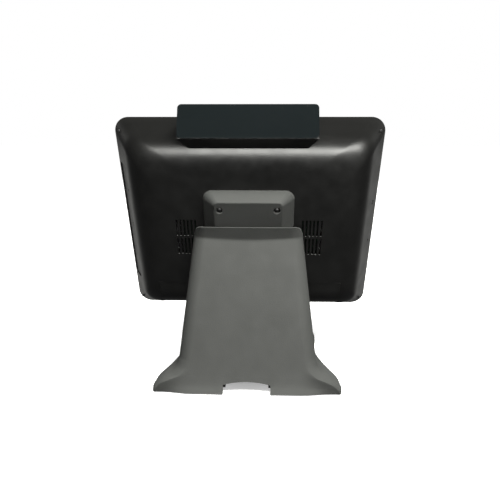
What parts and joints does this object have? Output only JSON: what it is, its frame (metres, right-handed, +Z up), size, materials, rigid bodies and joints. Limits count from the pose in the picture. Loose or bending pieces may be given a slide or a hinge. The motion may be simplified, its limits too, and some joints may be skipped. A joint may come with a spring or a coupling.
{
  "type": "pos touchscreen terminal",
  "caption": "All-in-one point-of-sale touch terminal on a bell-shaped stand, with a tilting screen head and a customer display on top.",
  "frame": {"origin": "on the counter, in the middle of the footprint", "axes": "+X across the screen, -Y towards the cashier who faces the screen, +Y towards the customer, +Z up"},
  "size_m": [0.36, 0.225, 0.3593],
  "materials": {
    "black_shell": "satin black moulded plastic",
    "grey_shell": "fine-textured matte dark grey plastic",
    "smoked_window": "smoked window, smooth",
    "touch_glass": "black-backed cover glass",
    "panel_metal": "pressed panel frame",
    "steel": "zinc-plated",
    "black_steel": "black coated",
    "aluminium": "bare extrusion",
    "circuit_board": "green solder mask",
    "connector_metal": "nickel-plated shell",
    "connector_plastic": "moulded black",
    "rubber": "matte",
    "display_tube": "vacuum display tube"
  },
  "bodies": {
    "stand": {"base_plate": "black_steel", "cable_clip": "connector_plastic", "column_bolt_left": "steel", "column_bolt_right": "steel", "column_frame": "black_steel", "foot_front_left": "rubber", "foot_front_right": "rubber", "foot_rear_left": "rubber", "foot_rear_right": "rubber", "hinge_barrel_left": "black_steel", "hinge_barrel_right": "black_steel", "stand_front_cover": "grey_shell", "stand_rear_cover": "grey_shell"},
    "screen_head": {"chassis_plate": "steel", "cpu_heatsink": "aluminium", "cpu_package": "connector_plastic", "display_board": "circuit_board", "display_housing": "black_shell", "display_tube": "display_tube", "display_window": "smoked_window", "drawer_port": "connector_plastic", "front_bezel": "black_shell", "hinge_arm": "black_steel", "hinge_shaft_left": "steel", "hinge_shaft_right": "steel", "io_cover": "black_shell", "io_plate": "steel", "lan_port": "connector_metal", "lcd_panel": "panel_metal", "mainboard": "circuit_board", "neck_cover": "grey_shell", "neck_screw_lower_left": "black_steel", "neck_screw_lower_right": "black_steel", "neck_screw_upper_left": "black_steel", "neck_screw_upper_right": "black_steel", "power_inlet": "connector_plastic", "power_switch_board": "circuit_board", "rear_cover": "black_shell", "rear_cover_screw_lower_left": "black_steel", "rear_cover_screw_lower_right": "black_steel", "rear_cover_screw_upper_left": "black_steel", "rear_cover_screw_upper_right": "black_steel", "serial_port_left": "connector_metal", "serial_port_right": "connector_metal", "side_module_cover": "black_shell", "side_module_screw_lower": "black_steel", "side_module_screw_upper": "black_steel", "side_plug_lower": "black_shell", "side_plug_upper": "black_shell", "speaker_left": "connector_plastic", "speaker_right": "connector_plastic", "ssd_drive": "black_steel", "touch_glass": "touch_glass", "usb_port_lower": "connector_metal", "usb_port_upper": "connector_metal", "video_port": "connector_metal"},
    "power_button": {"power_button": "black_shell"}
  },
  "joints": [
    {"name": "screen_tilt", "type": "hinge", "parent": "stand", "child": "screen_head", "pos_m": [0, 0.02273, 0.18515], "axis": [-1, 0, 0], "range_deg": [-10, 20]},
    {"name": "power_button_press", "type": "slide", "parent": "screen_head", "child": "power_button", "axis": [0, 0.9627, -0.2706], "range_m": [0, 0.0012], "stiffness_N_per_m": 900, "springref_m": -0.0006}
  ]
}
